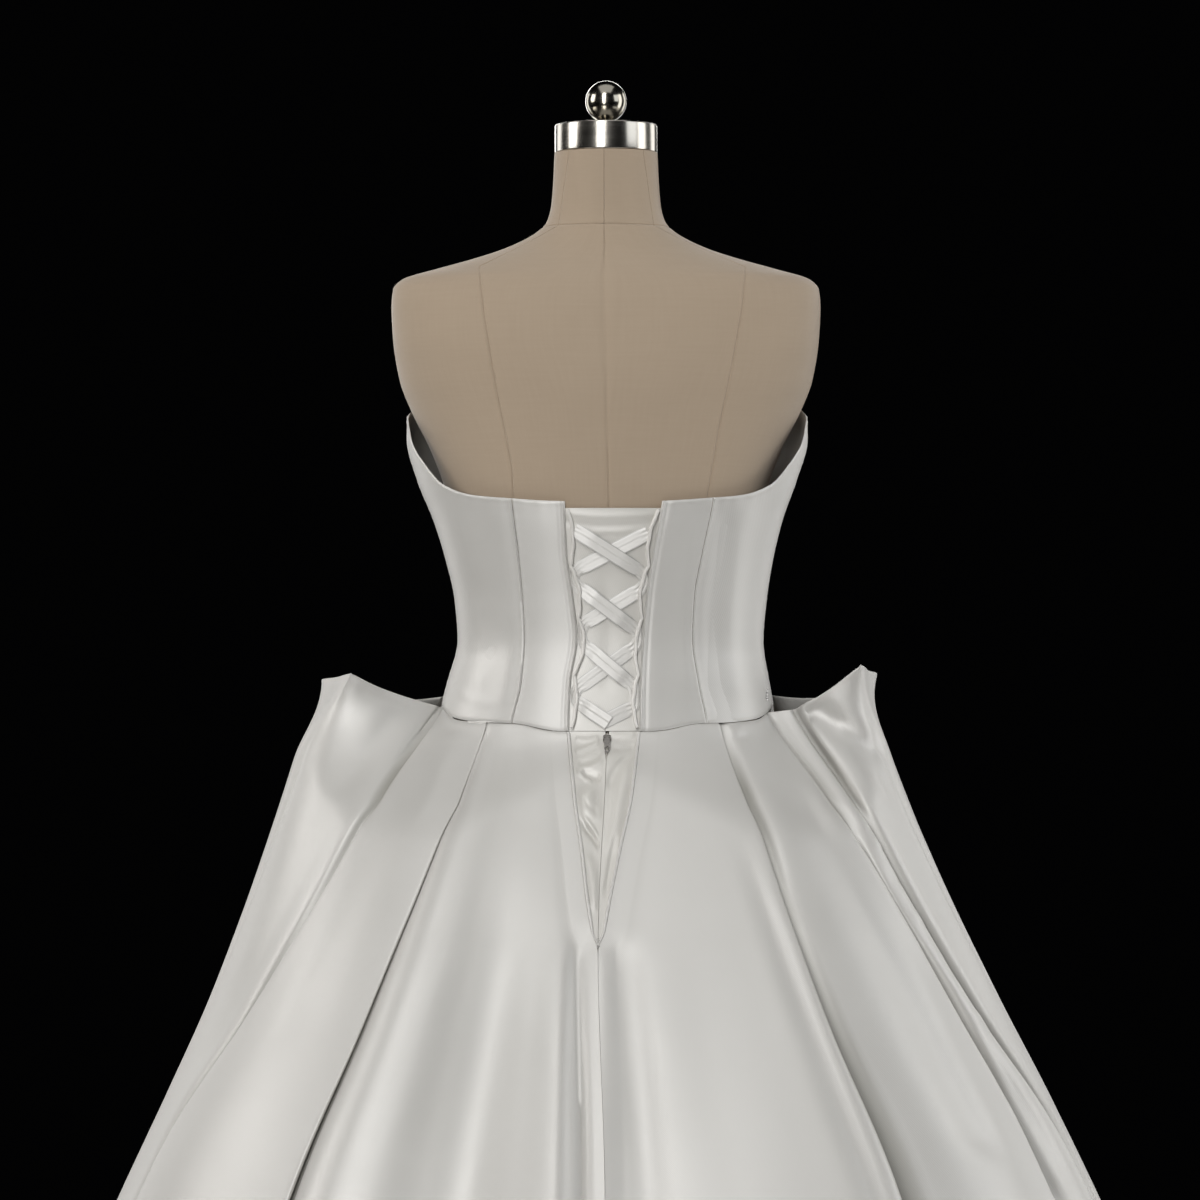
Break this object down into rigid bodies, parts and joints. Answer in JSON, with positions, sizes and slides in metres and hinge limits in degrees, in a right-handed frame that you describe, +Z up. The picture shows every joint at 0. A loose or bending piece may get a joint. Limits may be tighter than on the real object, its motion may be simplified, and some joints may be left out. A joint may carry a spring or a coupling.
{
  "type": "wedding dress on dress form",
  "caption": "Strapless satin ball gown with a laced back, V-shaped placket with zip and standing side pleats, filled out on a limbless linen dress form with a pole and round base.",
  "frame": {"origin": "on the floor, at the centre of the flat underside of the round base, under the pole", "axes": "+Z up; the front of the dress faces -Y and its laced back faces +Y; +X is the left of a viewer who stands behind it"},
  "size_m": [1.4, 1.2344, 1.6312],
  "materials": {
    "satin": "heavy ivory satin with a soft sheen and a fine twill",
    "form_linen": "matt beige linen stretched smooth",
    "cap_steel": "brushed",
    "knob_chrome": "polished",
    "stand_steel": "satin",
    "zip_coil": "ivory coil",
    "zip_metal": "worn nickel"
  },
  "bodies": {
    "dress_and_form": {"bodice_centre_back_left": "satin", "bodice_centre_back_right": "satin", "bodice_centre_front": "satin", "bodice_side_back_left": "satin", "bodice_side_back_right": "satin", "bodice_side_front_left": "satin", "bodice_side_front_right": "satin", "form_base": "stand_steel", "form_body": "form_linen", "form_knob": "knob_chrome", "form_neck_cap": "cap_steel", "form_pole": "stand_steel", "lace_from_left": "satin", "lace_from_right": "satin", "lacing_loops_left": "satin", "lacing_loops_right": "satin", "modesty_panel": "satin", "placket_left": "satin", "placket_right": "satin", "skirt_back_left": "satin", "skirt_back_right": "satin", "skirt_front": "satin", "skirt_side_left": "satin", "skirt_side_right": "satin", "skirt_underlay_left": "satin", "skirt_underlay_right": "satin", "v_piping_left": "satin", "v_piping_right": "satin", "zip": "zip_coil", "zip_slider": "zip_metal"},
    "zip_pull": {"zip_pull": "zip_metal"}
  },
  "joints": [
    {"name": "zip_pull_hinge", "type": "hinge", "parent": "dress_and_form", "child": "zip_pull", "pos_m": [-0.00081, 0.10976, 1.01241], "axis": [1, 0, 0], "range_deg": [0, 130]}
  ]
}
